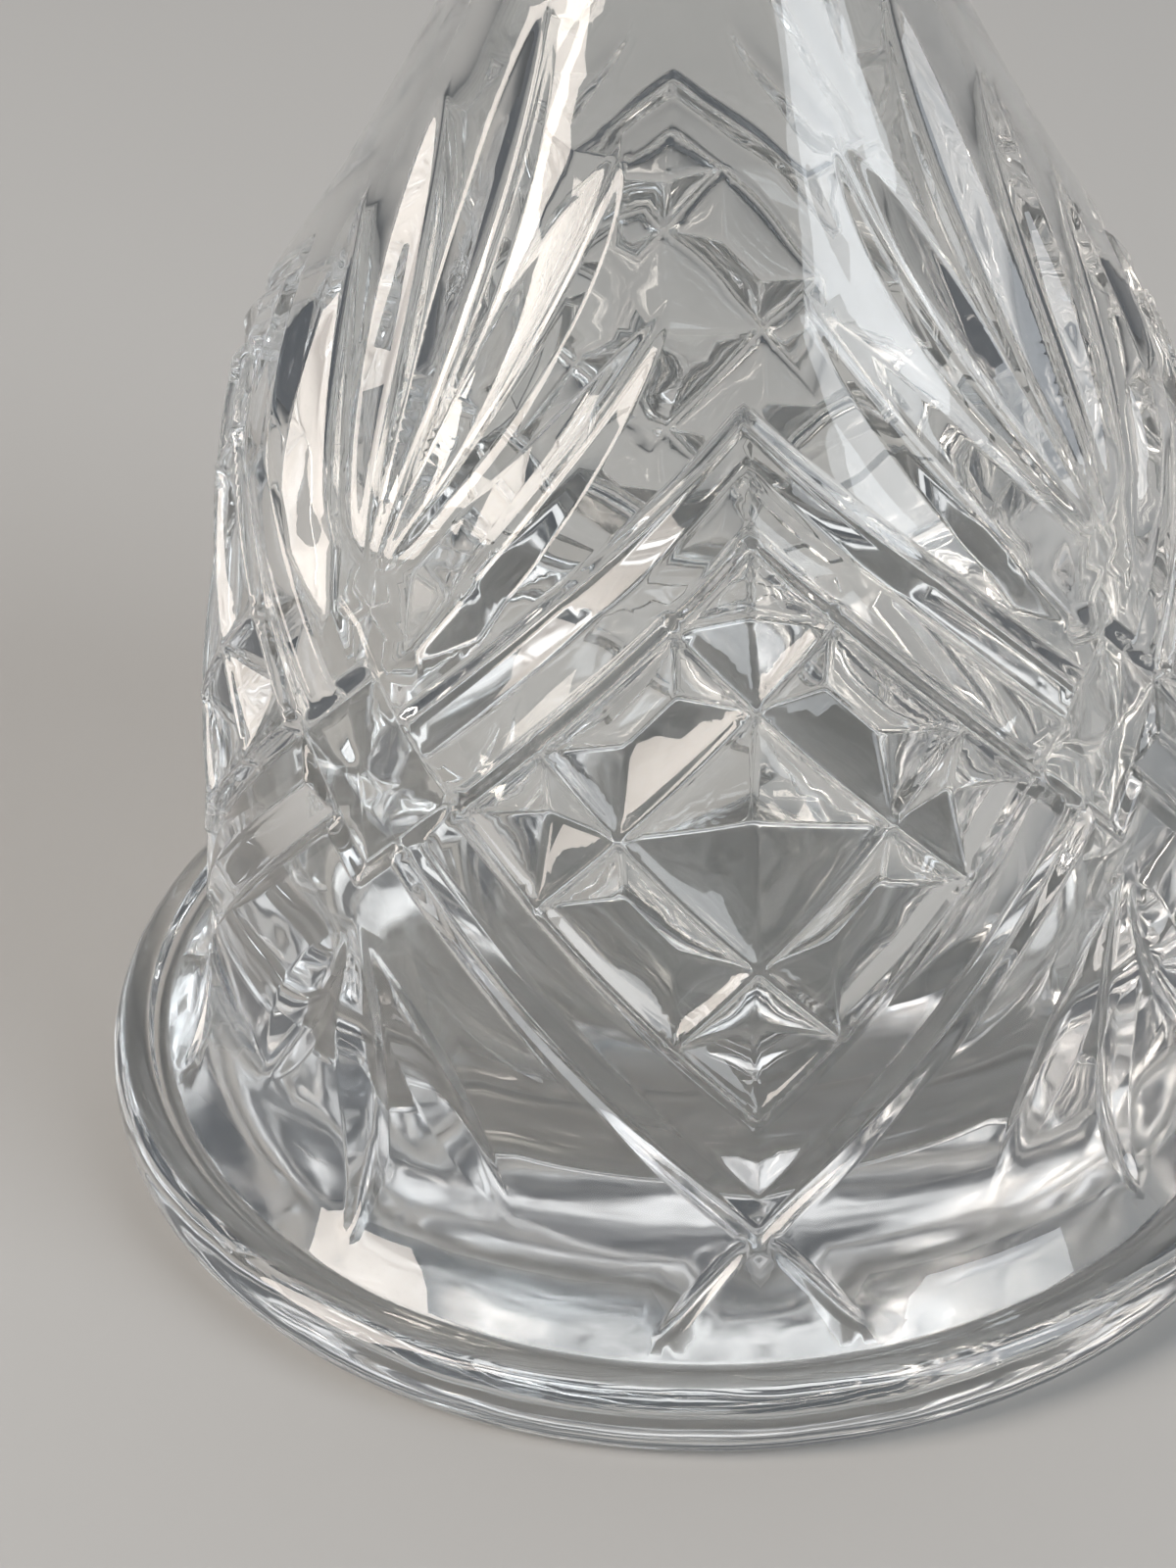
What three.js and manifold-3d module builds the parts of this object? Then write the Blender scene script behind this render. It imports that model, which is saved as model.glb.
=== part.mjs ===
import * as THREE from 'three';
import { mergeVertices } from 'three/addons/utils/BufferGeometryUtils.js';
import Module from 'manifold-3d';

// A moulded crystal decanter with its stopper, in millimetres. It stands on Z = 0 with its axis on Z.
// One diamond of the pattern faces -Y, and the others follow it round the body.

const wasm = await Module();
wasm.setup();

// Foot
const restInnerRadius = 55;
const recessDepth = 2.5;
const rimWidth = 4.4;
const rimUndercut = 3;
const rimHeight = 9.3;
const grooveWidth = 3.2;
const grooveDepth = 1.6;
const crestHeight = 9.7;
const flareReach = 4.9;
const flareHeight = 12.3;

// Body, from the top of the foot's flare to the neck
const bodyRadius = 56.5;
const bodyHeight = 69;
const bodyTaper = 6.8;
const shoulderTurn = 7.6;
const shoulderRise = 13;
const coneRise = 61;
const coneSlope = 0.66;

// Neck and lip
const neckRadius = 15.5;
const neckLength = 39;
const lipReach = 3.6;
const lipRise = 5;
const lipThickness = 6;
const lipBulge = 1;
const lipTopInset = 2;

// Inside
const wallThickness = 7;
const floorThickness = 13;
const floorCorner = 34;
const floorRise = 2;
const neckWall = 4;
const mouthRounding = 1.2;

// Pattern. Places on the wall are given by turn, in degrees round the axis, and climb, in degrees of the
// local radius up the wall from the middle of the diamonds, so a straight cut keeps its angle all the way.
const diamondCount = 4;
const patternRise = 46;
const diamondFill = 0.749;
const diamondSlope = 1.06;
const latticeEdge = 0.43;
const latticeBorder = 0.95;
const ribRidgeClimb = 7.8;
const ribValleyClimb = 14.3;
const ribValleyWidth = 1.8;
const ribRidgeDepth = 0.15;
const ribValleyDepth = 0.95;
const ribEndShare = 0.95;
const borderDepth = 1.45;
const ridgeDepth = 0.6;
const cellDepth = 4.2;
const buttonGrooveWidth = 2.6;
const clearHeight = 1;
const plateHeight = 3;

// Fans of wheel cuts above and below the buttons
const flankRatio = 2.2;
const fanTopClimb = 22;
const outerBladeBase = [-5, 15];
const outerBladeTip = [-35, 67];
const outerBladeDepth = 2.5;
const innerBladeBase = [-0.8, 24];
const innerBladeTip = [-24, 93];
const middleBladeTip = [0, 122];
const bladeDepth = 1.7;
const leafBase = [-1.2, -20];
const leafTip = [-18, -49.5];
const leafDepth = 1.8;
const middleLeafBase = -17;
const footCutStart = [-1.5, -50];
const footCutEnd = [-10.5, -61];
const footCutDepth = 1.1;

// Stopper and its sleeve
const clearance = 0.3;
const sleeveWall = 0.9;
const finReach = 0.5;
const finCount = 3;
const finThickness = 1.4;
const finPitch = 5.5;
const sleeveLength = 20;
const flangeThickness = 1.4;
const flangeReach = 3;
const shankOverhang = 2;
const shankChamfer = 1;
const collarThickness = 5;
const collarReach = 5.5;
const stemRadius = 9;
const stemHeight = 4;
const collarBulge = 1;
const ballRadius = 24;
const ballFacets = 8;
const facetDistance = 0.885;
const facetTilt = 43;
const tableDistance = 0.9;

// Facets round each piece
const outerSegments = 64;
const innerSegments = 40;
const smallSegments = 32;

const crestRadius = bodyRadius + flareReach;
const rimTopRadius = crestRadius + grooveWidth;
const footRadius = rimTopRadius + rimWidth;
const bodyFoot = crestHeight + flareHeight;
const shoulderRadius = bodyRadius - bodyTaper;
const shoulderHeight = bodyFoot + bodyHeight;
const coneRadius = shoulderRadius - shoulderTurn;
const coneHeight = shoulderHeight + shoulderRise;
const neckFoot = coneHeight + coneRise;
const neckTop = neckFoot + neckLength;
const lipRadius = neckRadius + lipReach;
const lipHeight = neckTop + lipRise;
const mouthHeight = lipHeight + lipThickness;
const boreRadius = neckRadius - neckWall;

const pitch = 360 / diamondCount;
const buttonTurn = pitch / 2;
const diamondTurn = buttonTurn * diamondFill;
const diamondClimb = diamondTurn * diamondSlope;

// The wall from the top of the foot's flare to the foot of the neck, each inset by its own thickness
function addWall(path, inset, neckInset) {
  const taper = bodyTaper / bodyHeight;
  path.quadraticCurveTo(
    bodyRadius - inset, bodyFoot + bodyHeight * 0.55,
    shoulderRadius - inset, shoulderHeight);
  path.quadraticCurveTo(
    shoulderRadius - inset - taper * shoulderRise * 0.17, shoulderHeight + shoulderRise * 0.17,
    coneRadius - inset, coneHeight);
  const throat = neckRadius - neckInset;
  path.quadraticCurveTo(
    throat, Math.min(coneHeight + (coneRadius - inset - throat) / coneSlope, neckFoot),
    throat, neckFoot);
}

function wallOutline() {
  const path = new THREE.Path();
  path.moveTo(crestRadius, crestHeight);
  path.quadraticCurveTo(
    bodyRadius + flareReach * 0.18, crestHeight + flareHeight * 0.27,
    bodyRadius, bodyFoot);
  addWall(path, 0, 0);
  path.lineTo(neckRadius, neckTop);
  return path;
}

function footOutline() {
  const path = new THREE.Path();
  path.moveTo(0, recessDepth);
  path.quadraticCurveTo(restInnerRadius * 0.6, recessDepth, restInnerRadius, 0);
  path.lineTo(footRadius - rimUndercut, 0);
  path.quadraticCurveTo(footRadius, 0.5, footRadius, rimHeight / 2);
  path.quadraticCurveTo(footRadius, rimHeight, rimTopRadius, rimHeight);
  path.quadraticCurveTo(
    rimTopRadius - grooveWidth / 2, rimHeight - grooveDepth * 2,
    crestRadius, crestHeight);
  return path;
}

function lipOutline() {
  const path = new THREE.Path();
  path.moveTo(neckRadius, neckTop);
  path.quadraticCurveTo(neckRadius, neckTop + lipRise * 0.7, lipRadius, lipHeight);
  path.quadraticCurveTo(lipRadius + lipBulge, mouthHeight, lipRadius - lipTopInset, mouthHeight);
  path.lineTo(0, mouthHeight);
  return path;
}

function cavityOutline() {
  const path = new THREE.Path();
  const corner = bodyRadius - wallThickness;
  path.moveTo(0, floorThickness + floorRise);
  path.quadraticCurveTo(
    (corner - floorCorner) / 2, floorThickness + floorRise,
    corner - floorCorner, floorThickness + floorRise / 2);
  path.quadraticCurveTo(corner, floorThickness - floorRise / 4, corner, floorThickness + floorCorner);
  addWall(path, wallThickness, neckWall);
  path.lineTo(boreRadius, mouthHeight - mouthRounding);
  path.lineTo(boreRadius + mouthRounding * 2, mouthHeight + mouthRounding);
  path.lineTo(0, mouthHeight + mouthRounding);
  return path;
}

// The wall's outline as a chart from climb to radius and height
function wallChart() {
  const points = wallOutline().getPoints(40);
  const chart = [{ point: points[0], climb: 0 }];
  for (let i = 1; i < points.length; i += 1) {
    const run = points[i].distanceTo(points[i - 1]);
    const step = THREE.MathUtils.radToDeg(run * 2 / (points[i].x + points[i - 1].x));
    chart.push({ point: points[i], climb: chart[i - 1].climb + step });
  }
  const above = chart.findIndex((entry) => entry.point.y >= bodyFoot + patternRise);
  const [low, high] = [chart[above - 1], chart[above]];
  const share = (bodyFoot + patternRise - low.point.y) / (high.point.y - low.point.y);
  const middle = THREE.MathUtils.lerp(low.climb, high.climb, share);
  for (const entry of chart) {
    entry.climb -= middle;
  }
  return chart;
}

const chart = wallChart();

// The point of the wall at a turn and climb, sunk by a depth along the wall's normal
function wallPoint(turn, climb, depth) {
  let i = chart.findIndex((entry) => entry.climb >= climb);
  i = THREE.MathUtils.clamp(i, 1, chart.length - 1);
  const low = chart[i - 1];
  const high = chart[i];
  const share = (climb - low.climb) / (high.climb - low.climb);
  const along = high.point.clone().sub(low.point);
  const place = low.point.clone().addScaledVector(along, share);
  along.normalize();
  const radius = place.x - along.y * depth;
  const angle = THREE.MathUtils.degToRad(turn);
  return new THREE.Vector3(radius * Math.sin(angle), -radius * Math.cos(angle), place.y + along.x * depth);
}

function bareGeometry(positions) {
  const geometry = new THREE.BufferGeometry();
  geometry.setAttribute('position', new THREE.Float32BufferAttribute(positions, 3));
  return geometry;
}

// A closed mesh as a solid, with its corners merged and its empty triangles left out
function solid(geometry) {
  const bare = geometry.clone();
  bare.deleteAttribute('normal');
  bare.deleteAttribute('uv');
  const merged = mergeVertices(bare, 1e-4);
  const corners = [];
  for (let i = 0; i < merged.index.count; i += 3) {
    const [a, b, c] = [0, 1, 2].map((k) => merged.index.getX(i + k));
    if (a !== b && b !== c && c !== a) {
      corners.push(a, b, c);
    }
  }
  return new wasm.Manifold(new wasm.Mesh({
    numProp: 3,
    vertProperties: new Float32Array(merged.attributes.position.array),
    triVerts: new Uint32Array(corners),
  }));
}

function geometryOf(manifold) {
  const mesh = manifold.getMesh();
  const geometry = new THREE.BufferGeometry();
  geometry.setAttribute('position', new THREE.BufferAttribute(new Float32Array(mesh.vertProperties), 3));
  geometry.setIndex(new THREE.BufferAttribute(new Uint32Array(mesh.triVerts), 1));
  const flat = geometry.toNonIndexed();
  flat.computeVertexNormals();
  return flat;
}

// A solid of revolution about Z
function turned(points, segments) {
  return new THREE.LatheGeometry(points, segments).rotateX(Math.PI / 2);
}

// A place inside a diamond, by its two diagonal coordinates, each from -1 to 1 between the border lines
function latticePlace(p, q, depth) {
  return [diamondTurn * (p - q) / 2, diamondClimb * (p + q) / 2, depth];
}

// A place on a line beside the border of the diamond's upper right side; share runs to the button's groove
function sidePlace(climb, share, depth) {
  const end = (climb + diamondClimb) / (2 * diamondSlope);
  return [end * share, climb - diamondSlope * end * share, depth];
}

// The steps along one side of the diamond, finer in the middle cell than in the outer ones
function latticeSteps() {
  const steps = [];
  for (const [from, to, parts] of [[-latticeBorder, -latticeEdge, 2], [-latticeEdge, latticeEdge, 3],
    [latticeEdge, latticeBorder, 2]]) {
    for (let i = 0; i < parts; i += 1) {
      steps.push(from + (to - from) * i / parts);
    }
  }
  steps.push(latticeBorder);
  return steps;
}

// One cell is a sunken roof, whose hips run from its corners to a short valley or a point
function cellFacets(steps, pFrom, pTo, qFrom, qTo) {
  const pSteps = steps.slice(pFrom, pTo + 1);
  const qSteps = steps.slice(qFrom, qTo + 1);
  const pMiddle = (pSteps[0] + pSteps.at(-1)) / 2;
  const qMiddle = (qSteps[0] + qSteps.at(-1)) / 2;
  const excess = (pSteps.at(-1) - pSteps[0] - qSteps.at(-1) + qSteps[0]) / 2;
  const pRun = Math.max(excess, 0);
  const qRun = Math.max(-excess, 0);
  const valleyEnd = ([p, q]) => {
    const side = Math.sign(pRun * (p - pMiddle) + qRun * (q - qMiddle));
    return latticePlace(pMiddle + side * pRun, qMiddle + side * qRun, cellDepth);
  };
  const loop = [
    ...pSteps.map((p) => [p, qSteps[0]]),
    ...qSteps.slice(1).map((q) => [pSteps.at(-1), q]),
    ...pSteps.toReversed().slice(1).map((p) => [p, qSteps.at(-1)]),
    ...qSteps.toReversed().slice(1).map((q) => [pSteps[0], q]),
  ];
  const facets = [];
  for (let i = 0; i + 1 < loop.length; i += 1) {
    const here = latticePlace(...loop[i], ridgeDepth);
    const next = latticePlace(...loop[i + 1], ridgeDepth);
    facets.push([valleyEnd(loop[i]), here, next]);
    facets.push([valleyEnd(loop[i]), next, valleyEnd(loop[i + 1])]);
  }
  return facets;
}

// A quarter of the frame round a diamond: outer valley, ridge, border valley and the lattice's edge
function frameFacets(steps) {
  const shares = steps.map((step) => (latticeBorder + step) / (2 * latticeBorder));
  const outerClimb = diamondClimb + ribValleyClimb;
  const ridgeClimb = diamondClimb + ribRidgeClimb;
  const rimClimb = outerClimb + ribValleyWidth;
  const cornerTurn = (rimClimb + diamondClimb - buttonGrooveWidth) / (2 * diamondSlope);
  const corner = [cornerTurn, rimClimb - diamondSlope * cornerTurn, -clearHeight];
  const inner = (share) => latticePlace(latticeBorder, latticeBorder * (1 - 2 * share), ridgeDepth);
  const facets = [];
  const last = shares.length - 1;
  for (let i = 0; i < last; i += 1) {
    const [from, to] = [shares[i], i + 1 < last ? shares[i + 1] : ribEndShare];
    facets.push([sidePlace(rimClimb, from, -clearHeight), sidePlace(outerClimb, from, ribValleyDepth),
      sidePlace(outerClimb, to, ribValleyDepth), sidePlace(rimClimb, to, -clearHeight)]);
    facets.push([sidePlace(outerClimb, from, ribValleyDepth), sidePlace(ridgeClimb, from, ribRidgeDepth),
      sidePlace(ridgeClimb, to, ribRidgeDepth), sidePlace(outerClimb, to, ribValleyDepth)]);
    facets.push([sidePlace(ridgeClimb, to, ribRidgeDepth), sidePlace(ridgeClimb, from, ribRidgeDepth),
      sidePlace(diamondClimb, from, borderDepth), sidePlace(diamondClimb, shares[i + 1], borderDepth)]);
    facets.push([sidePlace(diamondClimb, from, borderDepth), inner(from),
      inner(shares[i + 1]), sidePlace(diamondClimb, shares[i + 1], borderDepth)]);
  }
  const outerEnd = sidePlace(outerClimb, 1, borderDepth);
  const ridgeEnd = sidePlace(ridgeClimb, 1, borderDepth);
  const borderEnd = sidePlace(diamondClimb, 1, borderDepth);
  const crossing = [buttonTurn, diamondSlope * buttonTurn - diamondClimb, borderDepth];
  const crossingRim = [buttonTurn, crossing[1] + buttonGrooveWidth, -clearHeight];
  const button = [buttonTurn, 0, ribRidgeDepth];
  const rimStop = sidePlace(rimClimb, ribEndShare, -clearHeight);
  const outerStop = sidePlace(outerClimb, ribEndShare, ribValleyDepth);
  const ridgeStop = sidePlace(ridgeClimb, ribEndShare, ribRidgeDepth);
  facets.push([rimStop, outerStop, outerEnd, corner]);
  facets.push([outerStop, ridgeStop, ridgeEnd, outerEnd]);
  facets.push([ridgeStop, borderEnd, ridgeEnd]);
  facets.push([corner, outerEnd, crossing, crossingRim]);
  facets.push([button, borderEnd, ridgeEnd], [button, ridgeEnd, outerEnd], [button, outerEnd, crossing]);
  return facets;
}

// Everything that the mould's plates press into the wall, as facets between places of the chart
function patternFacets() {
  const steps = latticeSteps();
  const frame = frameFacets(steps);
  const bounds = [[0, 2], [2, 5], [5, 7]];
  const diamond = bounds.flatMap((p) => bounds.flatMap((q) => cellFacets(steps, ...p, ...q)));
  for (const side of [1, -1]) {
    for (const rise of [1, -1]) {
      diamond.push(...frame.map((facet) => facet.map(([turn, climb, depth]) => [
        turn * side, climb * rise, depth])));
    }
  }
  const facets = [];
  for (let i = 0; i < diamondCount; i += 1) {
    facets.push(...diamond.map((facet) => facet.map(([turn, climb, depth]) => [
      i * pitch + turn, climb, depth])));
  }
  return facets;
}

function chartArea([a, b, c]) {
  return (b[0] - a[0]) * (c[1] - a[1]) - (c[0] - a[0]) * (b[1] - a[1]);
}

// The plate: its inner side is the relief, and a lid clear of the wall closes it
function patternPlate() {
  const positions = [];
  for (const facet of patternFacets()) {
    for (let i = 1; i + 1 < facet.length; i += 1) {
      const corners = [facet[0], facet[i], facet[i + 1]];
      const area = chartArea(corners);
      if (Math.abs(area) < 1e-6) {
        continue;
      }
      if (area < 0) {
        corners.reverse();
      }
      const lid = corners.map(([turn, climb, depth]) => [turn, climb, depth < 0 ? depth : -plateHeight]);
      for (const place of [...lid, ...corners.toReversed()]) {
        positions.push(...wallPoint(...place).toArray());
      }
    }
  }
  return solid(bareGeometry(positions));
}

// A V-shaped cut along the wall, as a wheel leaves it: the deeper it runs, the wider it is
function wheelCut(from, to, depths) {
  const rings = depths.map((depth, i) => {
    const share = i / (depths.length - 1);
    const turn = THREE.MathUtils.lerp(from[0], to[0], share);
    const climb = THREE.MathUtils.lerp(from[1], to[1], share);
    const ahead = wallPoint(turn + (to[0] - from[0]) * 0.01, climb + (to[1] - from[1]) * 0.01, 0);
    const surface = wallPoint(turn, climb, 0);
    const top = wallPoint(turn, climb, -clearHeight);
    const across = top.clone().sub(surface).cross(ahead.sub(surface)).normalize();
    const half = (depth + clearHeight) * flankRatio;
    return [
      wallPoint(turn, climb, depth),
      top.clone().addScaledVector(across, half),
      top.clone().addScaledVector(across, -half),
    ];
  });
  const positions = [];
  const facet = (...corners) => positions.push(...corners.flatMap((corner) => corner.toArray()));
  for (let i = 0; i + 1 < rings.length; i += 1) {
    for (let k = 0; k < 3; k += 1) {
      const [here, beside] = [rings[i][k], rings[i][(k + 1) % 3]];
      const [next, besideNext] = [rings[i + 1][k], rings[i + 1][(k + 1) % 3]];
      facet(here, beside, next);
      facet(beside, besideNext, next);
    }
  }
  facet(rings[0][0], rings[0][2], rings[0][1]);
  facet(...rings.at(-1));
  return solid(bareGeometry(positions));
}

// Depths of a cut that runs in and out evenly, or that is deepest near its start
function evenDepths(deepest) {
  return [-1.05, -0.75, -0.4, 0, 0.4, 0.75, 1.05].map((share) => deepest * (1 - share * share));
}

function plungeDepths(deepest) {
  return [-0.15, 0.95, 0.9, 0.72, 0.48, 0.22, -0.06].map((share) => deepest * share);
}

// The cuts of one button, each with its mirror image
function fanCuts(centre) {
  const cuts = [
    [[0, fanTopClimb], middleBladeTip, evenDepths(bladeDepth)],
    [[0, middleLeafBase], [0, chart[0].climb], evenDepths(leafDepth)],
  ];
  for (const side of [1, -1]) {
    const mirrored = ([turn, climb]) => [turn * side, climb];
    cuts.push([mirrored(outerBladeBase), mirrored(outerBladeTip), plungeDepths(outerBladeDepth)]);
    cuts.push([mirrored(innerBladeBase), mirrored(innerBladeTip), evenDepths(bladeDepth)]);
    cuts.push([mirrored(leafBase), mirrored(leafTip), evenDepths(leafDepth)]);
  }
  return cuts.map(([from, to, depths]) => wheelCut(
    [centre + from[0], from[1]], [centre + to[0], to[1]], depths));
}

// The pair of short cuts that run off each diamond's lower point over the foot's crest
function footCuts(centre) {
  return [1, -1].map((side) => wheelCut(
    [centre + footCutStart[0] * side, footCutStart[1]],
    [centre + footCutEnd[0] * side, footCutEnd[1]],
    evenDepths(footCutDepth)));
}

function decanterBody() {
  const outline = [
    ...footOutline().getPoints(3),
    ...wallOutline().getPoints(4).slice(1),
    ...lipOutline().getPoints(3).slice(1),
  ];
  let body = solid(turned(outline, outerSegments));
  body = body.subtract(solid(turned(cavityOutline().getPoints(5), innerSegments)));
  let tool = patternPlate();
  for (let i = 0; i < diamondCount; i += 1) {
    for (const cut of [...fanCuts(i * pitch + buttonTurn), ...footCuts(i * pitch)]) {
      tool = tool.add(cut);
    }
  }
  return geometryOf(body.subtract(tool));
}

// The sleeve: a thin tube with sealing fins, and a flange that rests on the lip
function stopperSleeve() {
  const outer = boreRadius - clearance - finReach;
  const inner = outer - sleeveWall;
  const flangeFoot = mouthHeight + clearance;
  const foot = flangeFoot - sleeveLength;
  const points = [[inner, foot], [outer - sleeveWall / 2, foot]];
  for (let i = 0; i < finCount; i += 1) {
    const middle = foot + finPitch * (i + 0.5) + finThickness;
    points.push([outer, middle - finThickness / 2]);
    points.push([outer + finReach, middle]);
    points.push([outer, middle + finThickness / 2]);
  }
  points.push([outer, flangeFoot], [outer + flangeReach, flangeFoot]);
  points.push([outer + flangeReach, flangeFoot + flangeThickness]);
  points.push([inner, flangeFoot + flangeThickness], [inner, foot]);
  return turned(points.map(([r, z]) => new THREE.Vector2(r, z)), smallSegments);
}

// The stopper's head: a ball ground flat in three rows of facets, with a table on top
function facetedBall(middle) {
  const ball = new THREE.SphereGeometry(ballRadius, 24, 16).rotateX(Math.PI / 2).translate(0, 0, middle);
  let head = solid(ball);
  const size = ballRadius * 2;
  const grind = (turn, tilt, distance) => {
    const block = new THREE.BoxGeometry(size, size, size).translate(distance * ballRadius + size / 2, 0, 0);
    block.rotateY(-THREE.MathUtils.degToRad(tilt)).rotateZ(THREE.MathUtils.degToRad(turn));
    head = head.subtract(solid(block.translate(0, 0, middle)));
  };
  for (let i = 0; i < ballFacets; i += 1) {
    const turn = 360 / ballFacets;
    grind(turn * (i + 0.5), 0, facetDistance);
    grind(turn * i, facetTilt, facetDistance);
    grind(turn * i, -facetTilt, facetDistance);
  }
  grind(0, 90, tableDistance);
  return head;
}

function stopper() {
  const shankRadius = boreRadius - finReach - sleeveWall - clearance * 2;
  const seat = mouthHeight + flangeThickness + clearance * 2;
  const foot = mouthHeight - sleeveLength - shankOverhang;
  const collarRadius = shankRadius + collarReach;
  const stemTop = seat + collarThickness + stemHeight;
  const ballMiddle = stemTop + ballRadius * facetDistance * 0.92;
  const path = new THREE.Path();
  path.moveTo(0, foot);
  path.lineTo(shankRadius - shankChamfer, foot);
  path.lineTo(shankRadius, foot + shankChamfer);
  path.lineTo(shankRadius, seat);
  path.lineTo(collarRadius - collarBulge, seat);
  path.quadraticCurveTo(
    collarRadius + collarBulge, seat + collarThickness / 2,
    collarRadius - collarBulge, seat + collarThickness);
  path.quadraticCurveTo(stemRadius, seat + collarThickness, stemRadius, stemTop);
  path.lineTo(stemRadius, ballMiddle);
  path.lineTo(0, ballMiddle);
  const stem = solid(turned(path.getPoints(4), smallSegments));
  return geometryOf(facetedBall(ballMiddle).add(stem));
}

const crystal = new THREE.MeshStandardMaterial({
  color: 0xeff4f3, roughness: 0.04, metalness: 0, transparent: true, opacity: 0.35,
});
const clearPlastic = new THREE.MeshStandardMaterial({
  color: 0xdfe5e6, roughness: 0.3, metalness: 0, transparent: true, opacity: 0.5,
});

function piece(name, geometry, material) {
  const mesh = new THREE.Mesh(geometry, material);
  mesh.name = name;
  return mesh;
}

const decanter = new THREE.Group();
decanter.name = 'crystal_decanter';
decanter.add(piece('decanter_body', decanterBody(), crystal));
decanter.add(piece('stopper_sleeve', stopperSleeve(), clearPlastic));
decanter.add(piece('stopper', stopper(), crystal));

export default decanter;
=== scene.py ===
# The looks of a crystal decanter: a finely modelled body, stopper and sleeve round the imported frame
import math

import bmesh
import bpy
import numpy as np
from mathutils import Matrix, Vector
from mathutils.geometry import delaunay_2d_cdt


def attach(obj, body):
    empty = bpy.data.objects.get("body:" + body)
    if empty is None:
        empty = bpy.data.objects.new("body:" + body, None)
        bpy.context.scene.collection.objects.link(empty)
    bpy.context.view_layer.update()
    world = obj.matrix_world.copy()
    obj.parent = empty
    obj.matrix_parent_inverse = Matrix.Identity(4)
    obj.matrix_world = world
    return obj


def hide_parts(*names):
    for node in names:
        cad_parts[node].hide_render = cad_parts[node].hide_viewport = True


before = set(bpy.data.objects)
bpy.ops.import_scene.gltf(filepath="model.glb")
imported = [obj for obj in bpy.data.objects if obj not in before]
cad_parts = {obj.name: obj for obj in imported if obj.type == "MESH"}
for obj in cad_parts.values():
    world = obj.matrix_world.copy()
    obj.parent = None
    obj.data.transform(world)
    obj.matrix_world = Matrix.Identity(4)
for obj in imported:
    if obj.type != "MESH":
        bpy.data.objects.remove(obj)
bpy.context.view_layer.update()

# Sizes are in millimetres and angles in degrees until a mesh is made
METRE = 0.001

# Foot. A BEND says where the middle point of a curve lies, as a share of the curve's reach or height
REST_INNER = 55
REST_ROUNDING = 0.5
RECESS = 2.5
RECESS_BEND = 0.6
RIM_WIDTH = 4.4
RIM_UNDERCUT = 3
RIM_HEIGHT = 9.3
GROOVE_WIDTH = 3.2
GROOVE_DEPTH = 1.6
CREST_HEIGHT = 9.7
FLARE_REACH = 4.9
FLARE_HEIGHT = 12.3
FLARE_REACH_BEND = 0.18
FLARE_HEIGHT_BEND = 0.27

# Body, neck and lip
BODY_RADIUS = 56.5
BODY_HEIGHT = 69
BODY_BEND = 0.55
BODY_TAPER = 6.8
SHOULDER_TURN = 7.6
SHOULDER_RISE = 13
SHOULDER_BEND = 0.17
CONE_RISE = 61
CONE_SLOPE = 0.66
NECK_RADIUS = 15.5
NECK_LENGTH = 39
LIP_REACH = 3.6
LIP_RISE = 5
LIP_BEND = 0.7
LIP_BULGE = 1
LIP_THICKNESS = 6
LIP_ROUNDING = 2
WALL = 7
FLOOR = 13
FLOOR_CORNER = 34
FLOOR_RISE = 2
NECK_WALL = 4
MOUTH_ROUNDING = 1.2

# Pattern, in degrees of turn and climb. Its rise, depths and beads are in millimetres, and the lattice's
# edge and border are shares of the diamond's climb
DIAMONDS = 4
PATTERN_RISE = 46
SLOPE = 1.06
HALF_PITCH = 180 / DIAMONDS
DIAMOND_TURN = HALF_PITCH * 0.749
DIAMOND_CLIMB = DIAMOND_TURN * SLOPE
LATTICE_EDGE = 0.43
LATTICE_BORDER = 0.95
RIB_RIDGE = 7.8
RIB_VALLEY = 14.3
RIB_FLANK = 1.4
RIDGE_DEPTH = 0.6
CELL_DEPTH = 4.2
CELL_BULGE = 0.22
BORDER_DEPTH = 1.45
RIB_RIDGE_DEPTH = 0.15
RIB_VALLEY_DEPTH = 1.1
BUTTON_FLANK = 1.6
BEAD_REACH = 0.75
LATTICE_BEAD = 0.9
RIB_BEAD = 0.7
BORDER_BEAD = 0.8
VALLEY_BEAD = 0.6

# Cutting wheels, as the flank's run for each millimetre of depth and the rounding at the bottom
BROAD = (1.45, 1.3)
NARROW = (0.8, 0.25)

# Rounding of edges: the disc's radius, its rings with the samples on each, and the outline's window
SOFTENING = 0.55
SOFTENING_RINGS = ((0.5, 6), (1.0, 9))
OUTLINE_SOFTENING = 1.6

# Stopper and sleeve
CLEARANCE = 0.3
SLEEVE_WALL = 0.9
SLEEVE_LENGTH = 20
SLEEVE_CHAMFER = 0.2
FIN_REACH = 0.5
FIN_COUNT = 3
FIN = 1.4
FIN_PITCH = 5.5
FLANGE = 1.4
FLANGE_REACH = 3
FLANGE_CHAMFER = 0.3
FLANGE_BULGE = 0.15
SHANK_OVERHANG = 2
SHANK_ROUNDING = 1.6
COLLAR = 5
COLLAR_REACH = 5.5
COLLAR_FILLET = 0.8
COLLAR_UNDERSIDE = 1.4
COLLAR_SHOULDER = 2.5
STEM = 9
STEM_HEIGHT = 4
STEM_END = 0.6
BALL = 24
BALL_BLANK = 2.4
BALL_SEAT = 0.92
BALL_FACETS = 8
BALL_FACET = 0.885
BALL_TILT = 43
BALL_TABLE = 0.9
BALL_EDGE = 0.35

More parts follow.
